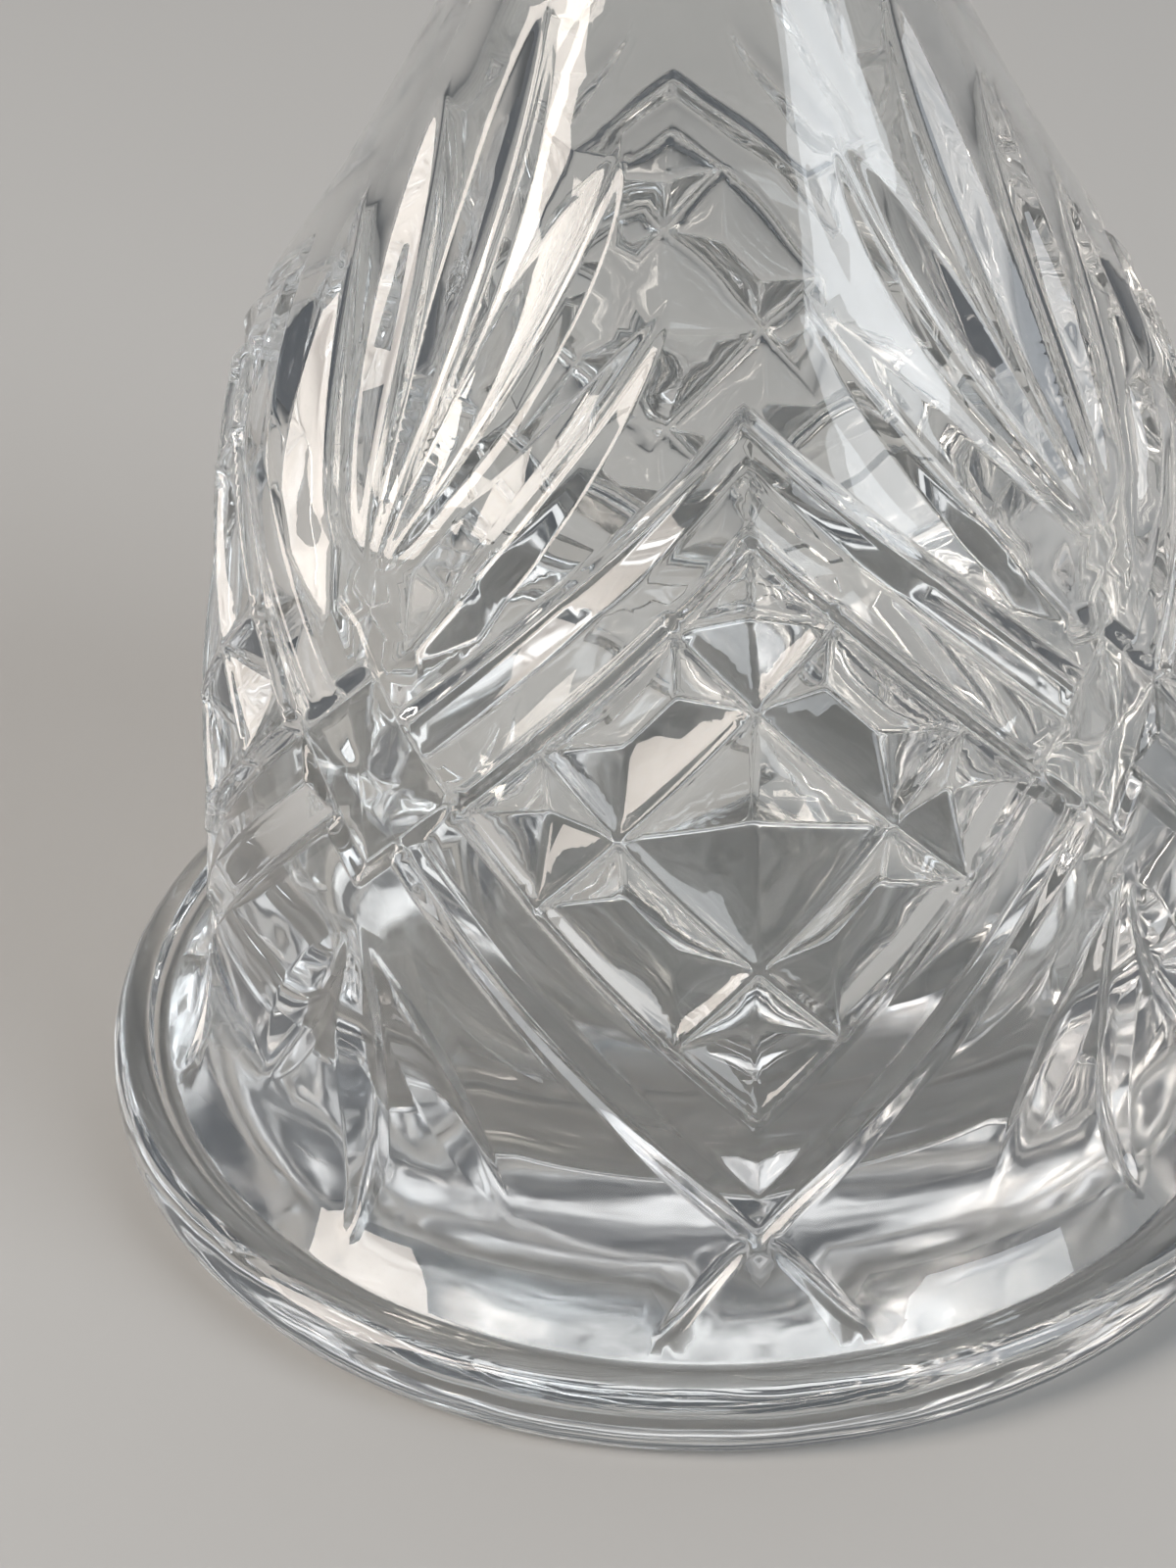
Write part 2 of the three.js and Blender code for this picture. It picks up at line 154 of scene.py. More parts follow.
# Fineness of the body's mesh: millimetres between points, how far the outline bends from row to row, counts
# of steps, and the climbs where the pattern's closer rows begin and end
OUTLINE_STEP = 0.05
OUTLINE_STEPS = 160
LINE_SAMPLES = 120
CREASE_STEP = 1.15
SIDE_STEP = 0.8
FILL_STEP = 2.4
PLAIN_STEP = 5
ROW_BEND = 8
BOTTOM_STEPS = 32
TOP_STEPS = 32
INSIDE_STEPS = 9
DOME_STEPS = 6
MOUTH_STEPS = 6
FILL_LEAST = 12
FILL_SHIFTS = (0.25, 0.75)
PATTERN_FOOT = -62
PATTERN_TOP = 125

# Rows of points beside a crease. The valley's are a share of the flank's width with an offset from there
ROUNDING_ROWS = (0, -0.28, 0.28, -0.6, 0.6, -1.1, 1.1)
CUT_EDGE_ROWS = (0, -0.28, 0.28)
VALLEY_ROWS = (
    (0, 0), (1, 0), (0, -0.28), (0, 0.28), (0.65, 0), (0, -0.6),
    (1, 0.28), (0, -0.85), (1, 0.6), (0, -1.2), (1, 1.1),
)

# The gap that a point keeps from those made before it, and the cell, in degrees, that those are sorted into
SHARED_GAP = 0.01
VALLEY_GAP = 0.1
CROSSING_GAP = 0.1
CREASE_GAP = 0.14
ROW_GAP = 0.16
CUT_EDGE_GAP = 0.2
CUT_SIDE_GAP = 0.6
SIDE_GAP = 0.3
FILL_GAP = 0.7 * FILL_STEP
THIN_CELL = 0.3

# Tolerances, and the step that slopes are measured over
SNAP = 0.02
INSIDE_TOLERANCE = 1e-6
TRIANGLE_TOLERANCE = 1e-7
SAME_PLACE = 1e-4
NORMAL_STEP = 0.04

# Camera, as it would stand square in front, and how far it is then turned about the decanter's axis
PHOTO_HEIGHT_PIXELS = 1600
CAMERA_FOCAL_PIXELS = 3909
CAMERA_SENSOR = 36
CAMERA_DISTANCE = 429.8
CAMERA_AIM = 37.8
CAMERA_ASIDE = -12.5
CAMERA_TILT = 35.2
CAMERA_ROLL = -1.37
CAMERA_TURN = -3.5
CAMERA_SHIFT = -0.003

# Glass and plastic, with the height of the glass's waves in metres
GLASS_BOUNCES = 24
CRYSTAL_INDEX = 1.545
CRYSTAL_TINTS = ((0.985, 0.992, 0.99, 1), (0.965, 0.975, 0.972, 1))
CRYSTAL_ROUGHNESS = (0.004, 0.03)
BODY_WAVES = 0.00012
STOPPER_WAVES = 0.00002
BASE_RADIUS = 58
BASE_HEIGHT = 4.5
BASE_BLEND = 1.5
BASE_ROUGHNESS = (0.06, 0.14)
PLASTIC_INDEX = 1.49
PLASTIC_CLEARNESS = 0.9
PLASTIC_COLOUR = (0.93, 0.95, 0.95, 1)
PLASTIC_ROUGHNESS = (0.16, 0.32)
PLASTIC_SHADOW = (0.8, 0.8, 0.8, 1)
NOISE_RANGE = (0.3, 0.7)

# Studio, in metres and watts
FLOOR_SIZE = 4
FLOOR_GAP = 0.0001
FLOOR_COLOUR = (0.54, 0.54, 0.53, 1)
FLOOR_ROUGHNESS = 0.9
ROOM_COLOUR = (0.86, 0.92, 1.0, 1)
ROOM_STRENGTH = 0.12
LAMP_SPREAD = 100

CREST = BODY_RADIUS + FLARE_REACH
RIM_TOP = CREST + GROOVE_WIDTH
FOOT = RIM_TOP + RIM_WIDTH
BODY_FOOT = CREST_HEIGHT + FLARE_HEIGHT
SHOULDER = BODY_RADIUS - BODY_TAPER
SHOULDER_HEIGHT = BODY_FOOT + BODY_HEIGHT
CONE = SHOULDER - SHOULDER_TURN
CONE_HEIGHT = SHOULDER_HEIGHT + SHOULDER_RISE
NECK_FOOT = CONE_HEIGHT + CONE_RISE
NECK_TOP = NECK_FOOT + NECK_LENGTH
LIP = NECK_RADIUS + LIP_REACH
LIP_HEIGHT = NECK_TOP + LIP_RISE
MOUTH = LIP_HEIGHT + LIP_THICKNESS
BORE = NECK_RADIUS - NECK_WALL


def bend(start, middle, end, steps):
    """Points of a quadratic curve, without its first one."""
    t = np.linspace(0, 1, steps + 1)[1:, None]
    start, middle, end = map(np.array, (start, middle, end))
    return (1 - t) ** 2 * start + 2 * t * (1 - t) * middle + t ** 2 * end


def wall_bends(inset, neck_inset, foot, steps):
    """The wall from its foot to the foot of the neck."""
    taper = BODY_TAPER / BODY_HEIGHT
    side = BODY_RADIUS - inset
    throat = NECK_RADIUS - neck_inset
    shoulder = (SHOULDER - inset, SHOULDER_HEIGHT)
    shoulder_turn = (
        SHOULDER - inset - taper * SHOULDER_RISE * SHOULDER_BEND,
        SHOULDER_HEIGHT + SHOULDER_RISE * SHOULDER_BEND,
    )
    cone = (CONE - inset, CONE_HEIGHT)
    knee = min(CONE_HEIGHT + (CONE - inset - throat) / CONE_SLOPE, NECK_FOOT)
    return [
        bend((side, foot), (side, BODY_FOOT + BODY_HEIGHT * BODY_BEND), shoulder, steps),
        bend(shoulder, shoulder_turn, cone, steps),
        bend(cone, (throat, knee), (throat, NECK_FOOT), steps),
    ]


def outer_outline(steps):
    """The outside from the resting ring's outer edge to the mouth's outer edge."""
    rest = (FOOT - RIM_UNDERCUT, 0)
    side = (FOOT, RIM_HEIGHT / 2)
    rim = (RIM_TOP, RIM_HEIGHT)
    groove = (RIM_TOP - GROOVE_WIDTH / 2, RIM_HEIGHT - GROOVE_DEPTH * 2)
    crest = (CREST, CREST_HEIGHT)
    flare = (BODY_RADIUS + FLARE_REACH * FLARE_REACH_BEND, CREST_HEIGHT + FLARE_HEIGHT * FLARE_HEIGHT_BEND)
    neck = (NECK_RADIUS, NECK_FOOT)
    neck_end = (NECK_RADIUS, NECK_TOP)
    lip = (LIP, LIP_HEIGHT)
    return np.vstack([
        [rest],
        bend(rest, (FOOT, REST_ROUNDING), side, steps),
        bend(side, (FOOT, RIM_HEIGHT), rim, steps),
        bend(rim, groove, crest, steps),
        bend(crest, flare, (BODY_RADIUS, BODY_FOOT), steps),
        *wall_bends(0, 0, BODY_FOOT, steps),
        bend(neck, (NECK_RADIUS, NECK_FOOT + NECK_LENGTH / 2), neck_end, steps),
        bend(neck_end, (NECK_RADIUS, NECK_TOP + LIP_RISE * LIP_BEND), lip, steps),
        bend(lip, (LIP + LIP_BULGE, MOUTH), (LIP - LIP_ROUNDING, MOUTH), steps),
    ])


def inner_outline(steps):
    """The inside from the mouth's outer edge down to the middle of the floor."""
    corner = BODY_RADIUS - WALL
    flat = corner - FLOOR_CORNER
    middle = (0, FLOOR + FLOOR_RISE)
    turn = (flat, FLOOR + FLOOR_RISE / 2)
    mouth = (BORE, MOUTH - MOUTH_ROUNDING)
    rise = np.vstack([
        [middle],
        bend(middle, (flat / 2, FLOOR + FLOOR_RISE), turn, DOME_STEPS),
        bend(turn, (corner, FLOOR - FLOOR_RISE / 4), (corner, FLOOR + FLOOR_CORNER), 2 * steps),
        *wall_bends(WALL, NECK_WALL, FLOOR + FLOOR_CORNER, steps),
        [mouth],
        bend(mouth, (BORE, MOUTH), (BORE + MOUTH_ROUNDING, MOUTH), MOUTH_STEPS),
        [(LIP - LIP_ROUNDING, MOUTH)],
    ])
    return rise[::-1]


def softened(outline):
    """The outline in even short steps, with its corners rounded by a moving mean."""
    run = np.concatenate([[0], np.cumsum(np.hypot(*np.diff(outline, axis=0).T))])
    steps = round(run[-1] / OUTLINE_STEP)
    even = np.linspace(0, run[-1], steps + 1)
    radius = np.interp(even, run, outline[:, 0])
    height = np.interp(even, run, outline[:, 1])
    half = round(OUTLINE_SOFTENING / OUTLINE_STEP / 2)
    window = np.bartlett(2 * half + 1)
    window /= window.sum()
    soft = []
    for value in (radius, height):
        before = 2 * value[0] - value[half:0:-1]
        after = 2 * value[-1] - value[-2:-half - 2:-1]
        soft.append(np.convolve(np.concatenate([before, value, after]), window, "valid"))
    return np.stack(soft, axis=1)


class Chart:
    """The outside's outline by climb, the angle that keeps a straight cut straight on the wall."""

    def __init__(self):
        points = softened(outer_outline(OUTLINE_STEPS))
        run = np.hypot(*np.diff(points, axis=0).T)
        middle = (points[1:, 0] + points[:-1, 0]) / 2
        climb = np.concatenate([[0], np.cumsum(np.degrees(run / middle))])
        wall = points[:, 1] > BODY_FOOT
        climb -= np.interp(BODY_FOOT + PATTERN_RISE, points[wall, 1], climb[wall])
        along = np.gradient(points, climb, axis=0)
        along /= np.hypot(*along.T)[:, None]
        self.climb, self.points, self.along = climb, points, along
        self.crest = climb[np.argmin(np.hypot(points[:, 0] - CREST, points[:, 1] - CREST_HEIGHT))]
        self.bottom, self.top = climb[0], climb[-1]

    def radius(self, climb):
        return np.interp(climb, self.climb, self.points[:, 0])

    def height(self, climb):
        return np.interp(climb, self.climb, self.points[:, 1])

    def degree(self, climb):
        """Millimetres in one degree of turn or climb."""
        return np.radians(self.radius(climb))

    def place(self, turn, climb, depth):
        """Points in space at a turn and climb, sunk by a depth along the wall's normal."""
        along_r = np.interp(climb, self.climb, self.along[:, 0])
        along_z = np.interp(climb, self.climb, self.along[:, 1])
        radius = self.radius(climb) - along_z * depth
        height = self.height(climb) + along_r * depth
        angle = np.radians(turn)
        return np.stack([radius * np.sin(angle), -radius * np.cos(angle), height], axis=-1)


chart = Chart()


# Wheel cuts above and below a button, as turn from its middle and climb at each end, and depths along them
CUT_POINTS = 22
EVEN = 1 - np.linspace(-1.05, 1.05, CUT_POINTS) ** 2
PLUNGE = np.array([-0.15, 0.95, 0.9, 0.72, 0.48, 0.22, -0.06])
FAN = [
    ((0, 22), (0, 122), 1.7 * EVEN),
    ((0, -17), (0, chart.crest), 1.8 * EVEN),
    ((-5, 15), (-35, 67), 2.5 * PLUNGE),
    ((-0.8, 24), (-24, 93), 1.7 * EVEN),
    ((-1.2, -20), (-18, -49.5), 1.8 * EVEN),
]

# The cut from a diamond's lower point over the foot's crest, as turn from the diamond's middle
FOOT_CUT = ((0.7, -49.5), (11, -61.5), 1.2 * (1 - np.linspace(-1.02, 1.02, CUT_POINTS) ** 6))


def wheel_cuts():
    """Every cut that reaches the eighth of the wall between a diamond's middle and a button's."""
    cuts = []
    for (x0, m0), (x1, m1), depths in FAN:
        sides = (1, -1) if x0 or x1 else (1,)
        for side in sides:
            cuts.append(((HALF_PITCH + side * x0, m0), (HALF_PITCH + side * x1, m1), depths, BROAD))
    (x0, m0), (x1, m1), depths = FOOT_CUT
    for side in (1, -1):
        cuts.append(((side * x0, m0), (side * x1, m1), depths, NARROW))
    return cuts


CUTS = wheel_cuts()


def cell_distance(value):
    """How far a diagonal coordinate lies from its cell's nearest side, and half the cell's width."""
    size = np.abs(value)
    middle = size < LATTICE_EDGE
    distance = np.where(middle, LATTICE_EDGE - size, np.minimum(size - LATTICE_EDGE, LATTICE_BORDER - size))
    half = np.where(middle, LATTICE_EDGE, (LATTICE_BORDER - LATTICE_EDGE) / 2)
    return distance, half


def cell_depth(side, cross):
    """The depth in the lattice: a hip roof turned inwards in each cell, with slightly hollow facets."""
    p_distance, p_half = cell_distance(side / DIAMOND_CLIMB)
    q_distance, q_half = cell_distance(cross / DIAMOND_CLIMB)
    roof = np.minimum(p_distance, q_distance) / np.minimum(p_half, q_half)
    roof = np.maximum(roof, 0)
    return RIDGE_DEPTH + (CELL_DEPTH - RIDGE_DEPTH) * roof * (1 + CELL_BULGE * (1 - roof))


def rib_depth(side):
    """The depth across the diamond's frame: its border, ridge, valley and flank."""
    c = DIAMOND_CLIMB
    return np.interp(
        side,
        [c * LATTICE_BORDER, c, c + RIB_RIDGE, c + RIB_VALLEY, c + RIB_VALLEY + RIB_FLANK],
        [RIDGE_DEPTH, BORDER_DEPTH, RIB_RIDGE_DEPTH, RIB_VALLEY_DEPTH, 0])


def bead(side, lines, height, scale):
    """A narrow raised or sunk bead along lines that keep one value of a diagonal coordinate."""
    away = np.min([np.abs(side - line) for line in lines], axis=0) * scale / math.hypot(1, SLOPE)
    return height * np.maximum(1 - away / BEAD_REACH, 0)


def raised_beads(side, cross, scale):
    """The beads on the ridges of the lattice and of the frame."""
    lines = [DIAMOND_CLIMB * line for line in (-LATTICE_BORDER, -LATTICE_EDGE, LATTICE_EDGE, LATTICE_BORDER)]
    along = bead(side, lines, LATTICE_BEAD, scale)
    across = bead(cross, lines, LATTICE_BEAD, scale)
    rib_bead = bead(side, [DIAMOND_CLIMB + RIB_RIDGE], RIB_BEAD, scale)
    return np.where(side < DIAMOND_CLIMB, np.maximum(along, across), rib_bead)


def pressed_depth(turn, climb, scale):
    """The depth of what the mould presses: the lattice, its frame, the beads and the buttons."""
    t = np.abs(turn)
    t = np.where(t > HALF_PITCH, 2 * HALF_PITCH - t, t)
    m = np.abs(climb)
    side = m + SLOPE * t
    cross = SLOPE * t - m
    c = DIAMOND_CLIMB
    depth = np.where(side < c * LATTICE_BORDER, cell_depth(side, cross), rib_depth(side))
    depth = depth - raised_beads(side, cross, scale)
    depth = depth + bead(side, [c], BORDER_BEAD, scale) + bead(side, [c + RIB_VALLEY], VALLEY_BEAD, scale)
    peak = SLOPE * HALF_PITCH
    groove = np.interp(cross, [c - BUTTON_FLANK, c, peak], [0, BORDER_DEPTH, RIB_RIDGE_DEPTH])
    return np.where(cross > c, groove, np.maximum(depth, np.where(side > c, groove, 0)))


def cut_depth(turn, climb, scale, cut):
    """The depth of one wheel cut, which is 0 or less beside it."""
    (x0, m0), (x1, m1), depths, (flank, rounding) = cut
    dx, dm = x1 - x0, m1 - m0
    length = math.hypot(dx, dm)
    share = ((turn - x0) * dx + (climb - m0) * dm) / length ** 2
    away = np.abs((turn - x0) * dm - (climb - m0) * dx) / length * scale
    floor = np.interp(share, np.linspace(0, 1, len(depths)), depths)
    rise = (np.hypot(away, rounding) - rounding) / flank
    return np.where((share > 0) & (share < 1), floor - rise, 0)


def cut_width(depth, wheel):
    """Half the width of a cut of this depth by a wheel with a flank and a rounding."""
    flank, rounding = wheel
    return np.sqrt((depth * flank + rounding) ** 2 - rounding ** 2)


def sharp_relief(turn, climb):
    """The pattern's depth before its edges are softened, from a diamond's middle to just past a button's."""
    scale = chart.degree(climb)
    depth = pressed_depth(turn, climb, scale)
    for cut in CUTS:
        depth = np.maximum(depth, cut_depth(turn, climb, scale, cut))
    return depth


def relief(turn, climb):
    """The pattern's depth with every edge rounded, as a mean over a small disc."""
    scale = chart.degree(climb)
    total = sharp_relief(turn, climb)
    count = 1
    for radius, spokes in SOFTENING_RINGS:
        step = SOFTENING * radius / scale
        for i in range(spokes):
            angle = 2 * math.pi * (i + radius) / spokes
            total = total + sharp_relief(turn + step * math.cos(angle), climb + step * math.sin(angle))
            count += 1
    return total / count


def wall_points(turn, climb):
    """The patterned outside in space."""
    return chart.place(turn, climb, relief(turn, climb))


def wall_normals(turn, climb):
    """The patterned outside's directions, from its slopes along turn and climb."""
    step = NORMAL_STEP / chart.degree(climb)
    across = wall_points(turn + step, climb) - wall_points(turn - step, climb)
    up = wall_points(turn, climb + step) - wall_points(turn, climb - step)
    normals = np.cross(across, up)
    return normals / np.linalg.norm(normals, axis=1)[:, None]


def row_climbs():
    """Climbs of the mesh's rows, closer together in the pattern and where the outline bends."""
    run = np.hypot(*np.diff(chart.points, axis=0).T)
    heading = np.unwrap(np.arctan2(chart.along[:, 1], chart.along[:, 0]))
    patterned = (chart.climb[1:] > PATTERN_FOOT) & (chart.climb[1:] < PATTERN_TOP)
    spacing = np.where(patterned, FILL_STEP, PLAIN_STEP)
    rate = np.maximum(run / spacing, np.abs(np.degrees(np.diff(heading))) / ROW_BEND)
    count = np.concatenate([[0], np.cumsum(rate)])
    rows = math.ceil(count[-1])
    return np.interp(np.linspace(0, count[-1], rows + 1), count, chart.climb)


def stations(start, end, spacing):
    """Places from start to end on the chart, about a spacing in millimetres apart, and the share of each."""
    shares = np.linspace(0, 1, LINE_SAMPLES)
    degree = chart.degree(start[1] + (end[1] - start[1]) * shares)
    length = math.hypot(end[0] - start[0], end[1] - start[1])
    run = np.concatenate([[0], np.cumsum((degree[1:] + degree[:-1]) / 2)])
    run *= length / (len(shares) - 1)
    steps = max(1, round(run[-1] / spacing))
    share = np.interp(np.linspace(0, run[-1], steps + 1), run, shares)
    places = np.array(start) + (np.array(end) - np.array(start)) * share[:, None]
    return places, share


def beside(places, start, end, offset):
    """Places moved sideways from a line by an offset in millimetres, the same for all or one for each."""
    dx, dm = end[0] - start[0], end[1] - start[1]
    sideways = np.array([-dm, dx]) / math.hypot(dx, dm)
    return places + sideways * (offset / chart.degree(places[:, 1]))[:, None]


def lattice(p, q):
    """A place on the chart from its two diagonal coordinates."""
    return (DIAMOND_TURN * (p - q) / 2, DIAMOND_CLIMB * (p + q) / 2)


def side_line(climb, rise):
    """A line along the diamond's right side, from a climb at turn 0. The rise is 1 above and -1 below."""
    end = (climb + DIAMOND_CLIMB) / (2 * SLOPE)
    return (0, climb * rise), (end, (climb - SLOPE * end) * rise)


def hip_lines():
    """The creases inside the lattice's cells: from each corner to the valley, and along it."""
    bounds = [(-LATTICE_BORDER, -LATTICE_EDGE), (-LATTICE_EDGE, LATTICE_EDGE), (LATTICE_EDGE, LATTICE_BORDER)]
    lines = []
    for p0, p1 in bounds:
        for q0, q1 in bounds:
            excess = ((p1 - p0) - (q1 - q0)) / 2
            p_run, q_run = max(excess, 0), max(-excess, 0)
            p, q = (p0 + p1) / 2, (q0 + q1) / 2
            first, second = lattice(p - p_run, q - q_run), lattice(p + p_run, q + q_run)
            lines.append((lattice(p0, q0), first))
            lines.append((lattice(p1, q1), second))
            lines.append((lattice(p0, q1), first if q_run == 0 else second))
            lines.append((lattice(p1, q0), second if q_run == 0 else first))
            if excess:
                lines.append((first, second))
    return lines


def crease_lines():
    """The pressed pattern's straight creases that may cross the eighth, apart from the outer valley's."""
    lines = []
    c = DIAMOND_CLIMB
    for rise in (1, -1):
        for climb in (c, c + RIB_RIDGE):
            lines.append(side_line(climb, rise))
        corner = lattice(LATTICE_BORDER, -LATTICE_BORDER)
        lines.append((lattice(LATTICE_BORDER * rise, LATTICE_BORDER * rise), corner))
        crossing = SLOPE * HALF_PITCH - c
        lines.append(((DIAMOND_TURN, 0), (HALF_PITCH, crossing * rise)))
        lines.append(((DIAMOND_TURN, BUTTON_FLANK * rise), (HALF_PITCH, (crossing + BUTTON_FLANK) * rise)))
    for edge in (LATTICE_EDGE, -LATTICE_EDGE):
        lines.append((lattice(edge, -LATTICE_BORDER), lattice(edge, LATTICE_BORDER)))
        lines.append((lattice(-LATTICE_BORDER, edge), lattice(LATTICE_BORDER, edge)))
    return lines + hip_lines()


def crossing_points():
    """The ends of every crease."""
    ends = [line[k] for line in crease_lines() for k in (0, 1)]
    for climb in (DIAMOND_CLIMB + RIB_VALLEY, DIAMOND_CLIMB + RIB_VALLEY + RIB_FLANK):
        ends += [place for rise in (1, -1) for place in side_line(climb, rise)]
    return [(np.array(ends), CROSSING_GAP)]


def valley_points():
    """Rows along the frame's outer valley and its flank, which lie so close that they share stations."""
    rows = []
    for rise in (1, -1):
        start, end = side_line(DIAMOND_CLIMB + RIB_VALLEY, rise)
        places, _ = stations(start, end, CREASE_STEP)
        flank = RIB_FLANK / math.hypot(1, SLOPE) * chart.degree(places[:, 1])
        for share, offset in VALLEY_ROWS:
            rows.append((beside(places, start, end, rise * (share * flank + offset)), VALLEY_GAP))
    return rows


def crease_points():
    """Rows along every other crease and beside it, which follow its rounding."""
    rows = []
    for start, end in crease_lines():
        places, _ = stations(start, end, CREASE_STEP)
        for offset in ROUNDING_ROWS:
            rows.append((beside(places, start, end, offset), ROW_GAP if offset else CREASE_GAP))
    return rows


def cut_points():
    """Rows along the bottom of every wheel cut, along its two edges and halfway up its sides."""
    rows = []
    for start, end, depths, wheel in CUTS:
        places, share = stations(start, end, CREASE_STEP)
        floor = np.interp(share, np.linspace(0, 1, len(depths)), depths)
        cut = floor > 0
        places, half = places[cut], cut_width(floor[cut], wheel)
        for offset in ROUNDING_ROWS:
            rows.append((beside(places, start, end, offset), ROW_GAP))
        for side in (1, -1):
            for offset in CUT_EDGE_ROWS:
                rows.append((beside(places, start, end, side * (half + offset)), CUT_EDGE_GAP))
            rows.append((beside(places, start, end, side * half / 2), CUT_SIDE_GAP))
    return rows


def edge_points(climbs):
    """Points on the eighth's two sides, which its mirror images share, and on its lowest and highest rows."""
    rows = []
    for climb, count in ((chart.bottom, BOTTOM_STEPS), (chart.top, TOP_STEPS)):
        turns = np.linspace(0, HALF_PITCH, count + 1)
        rows.append((np.stack([turns, np.full(count + 1, climb)], axis=1), SHARED_GAP))
    for turn in (0, HALF_PITCH):
        rows.append((np.stack([np.full(len(climbs), turn), climbs], axis=1), SHARED_GAP))
        pattern, _ = stations((turn, PATTERN_FOOT), (turn, PATTERN_TOP), SIDE_STEP)
        rows.append((pattern, SIDE_GAP))
    return rows


def fill_points(climbs):
    """Points between the creases, and even columns below and above the pattern."""
    rows = []
    for i, climb in enumerate(climbs[1:-1]):
        if PATTERN_FOOT < climb < PATTERN_TOP:
            steps = max(FILL_LEAST, math.ceil(HALF_PITCH * chart.degree(climb) / FILL_STEP))
            turns = (np.arange(steps) + FILL_SHIFTS[i % 2]) * HALF_PITCH / steps
            gap = FILL_GAP
        else:
            steps = BOTTOM_STEPS if climb < 0 else TOP_STEPS
            turns = np.arange(1, steps) * HALF_PITCH / steps
            gap = SHARED_GAP
        rows.append((np.stack([turns, np.full(len(turns), climb)], axis=1), gap))
    return rows


def inside_eighth(places):
    """Which places lie in the eighth or on its edges."""
    inside = (places[:, 0] > -INSIDE_TOLERANCE) & (places[:, 0] < HALF_PITCH + INSIDE_TOLERANCE)
    inside &= (places[:, 1] > chart.bottom - INSIDE_TOLERANCE) & (places[:, 1] < chart.top + INSIDE_TOLERANCE)
    return inside


def thin(rows):
    """Keeps each point that lies at least its gap, in millimetres, from those kept before it."""
    cells = {}
    kept = []
    for places, gap in rows:
        places = places[inside_eighth(places)]
        reaches = gap / chart.degree(places[:, 1])
        for (turn, climb), reach in zip(places.tolist(), reaches.tolist()):
            x, y = int(turn // THIN_CELL), int(climb // THIN_CELL)
            span = int(reach / THIN_CELL) + 1
            near = (other for i in range(x - span, x + span + 1) for j in range(y - span, y + span + 1)
                    for other in cells.get((i, j), ()))
            if all((turn - a) ** 2 + (climb - b) ** 2 >= reach * reach for a, b in near):
                cells.setdefault((x, y), []).append((turn, climb))
                kept.append((turn, climb))
    return kept


def snapped(places):
    """Points close to the eighth's two sides are moved onto them, so its mirror images meet there."""
    result = []
    for turn, climb in places:
        for side in (0, HALF_PITCH):
            if abs(turn - side) < SNAP:
                turn = side
        result.append((turn, climb))
    return result


class Builder:
    """Collects points in millimetres, faces and directions, and makes one mesh with shared points merged."""

    def __init__(self):
        self.points = []
        self.normals = []
        self.faces = []
        self.count = 0

    def add(self, points, faces, normals=None):
        self.points.append(points)
        self.normals.append(np.zeros_like(points) if normals is None else normals)
        self.faces.extend([i + self.count for i in face] for face in faces)
        self.count += len(points)

    def lathe(self, outline, columns):
        """A turned surface, which faces right of the way its outline runs."""
        turns = np.radians(np.arange(columns) * 360 / columns)
        radius, height = outline[:, :1], np.repeat(outline[:, 1:], columns, axis=1)
        rows = np.stack([radius * np.sin(turns), -radius * np.cos(turns), height], axis=-1)
        faces = []
        for i in range(len(rows) - 1):
            for k in range(columns):
                n = (k + 1) % columns
                faces.append((i * columns + k, i * columns + n, (i + 1) * columns + n, (i + 1) * columns + k))
        self.add(rows.reshape(-1, 3), faces)

    def mesh(self, name):
        """The mesh in metres. Where directions were given, they become its normals."""
        points, normals = np.vstack(self.points), np.vstack(self.normals)
        keys = np.round(points / SAME_PLACE).astype(np.int64)
        _, first, same = np.unique(keys, axis=0, return_index=True, return_inverse=True)
        same = same.reshape(-1)
        total = np.zeros((len(first), 3))
        np.add.at(total, same, normals)
        faces = []
        for face in self.faces:
            ring = [int(same[i]) for i in face]
            ring = [i for k, i in enumerate(ring) if i != ring[k - 1]]
            if len(ring) > 2:
                faces.append(ring)
        mesh = bpy.data.meshes.new(name)
        mesh.from_pydata((points[first] * METRE).tolist(), [], faces)
        mesh.shade_smooth()
        if total.any():
            size = np.linalg.norm(total, axis=1)[:, None]
            mesh.normals_split_custom_set_from_vertices((total / np.where(size > 0, size, 1)).tolist())
        return mesh


def eighth_of_wall():
    """Points, directions and faces of the outside between a diamond's middle and a button's."""
    climbs = row_climbs()
    rows = edge_points(climbs) + crossing_points() + valley_points()
    rows += crease_points() + cut_points() + fill_points(climbs)
    places = snapped(thin(rows))
    corners = [Vector(place) for place in places]
    _, _, faces, sources, *_ = delaunay_2d_cdt(corners, [], [], 0, TRIANGLE_TOLERANCE)
    turn, climb = np.array([places[source[0]] for source in sources]).T
    points, normals = wall_points(turn, climb), wall_normals(turn, climb)
    ends = (climb < chart.bottom + INSIDE_TOLERANCE) | (climb > chart.top - INSIDE_TOLERANCE)
    normals[ends] = 0
    return points, normals, faces


def body_mesh():
    """The hollow body: one eighth of the wall, its turned and mirrored copies, the inside and the base."""
    points, normals, faces = eighth_of_wall()
    builder = Builder()
    for i in range(DIAMONDS):
        angle = math.radians(i * 2 * HALF_PITCH)
        cos, sin = math.cos(angle), math.sin(angle)
        spin = np.array([[cos, sin, 0], [-sin, cos, 0], [0, 0, 1]])
        for side in (1, -1):
            mirror = np.array([side, 1, 1])
            builder.add(points * mirror @ spin, [face[::side] for face in faces], normals * mirror @ spin)
    builder.lathe(inner_outline(INSIDE_STEPS), 2 * DIAMONDS * TOP_STEPS)
    recess = bend((0, RECESS), (REST_INNER * RECESS_BEND, RECESS), (REST_INNER, 0), steps=10)
    builder.lathe(np.vstack([[(0, RECESS)], recess, [chart.points[0]]]), 2 * DIAMONDS * BOTTOM_STEPS)
    return builder.mesh("decanter_glass")


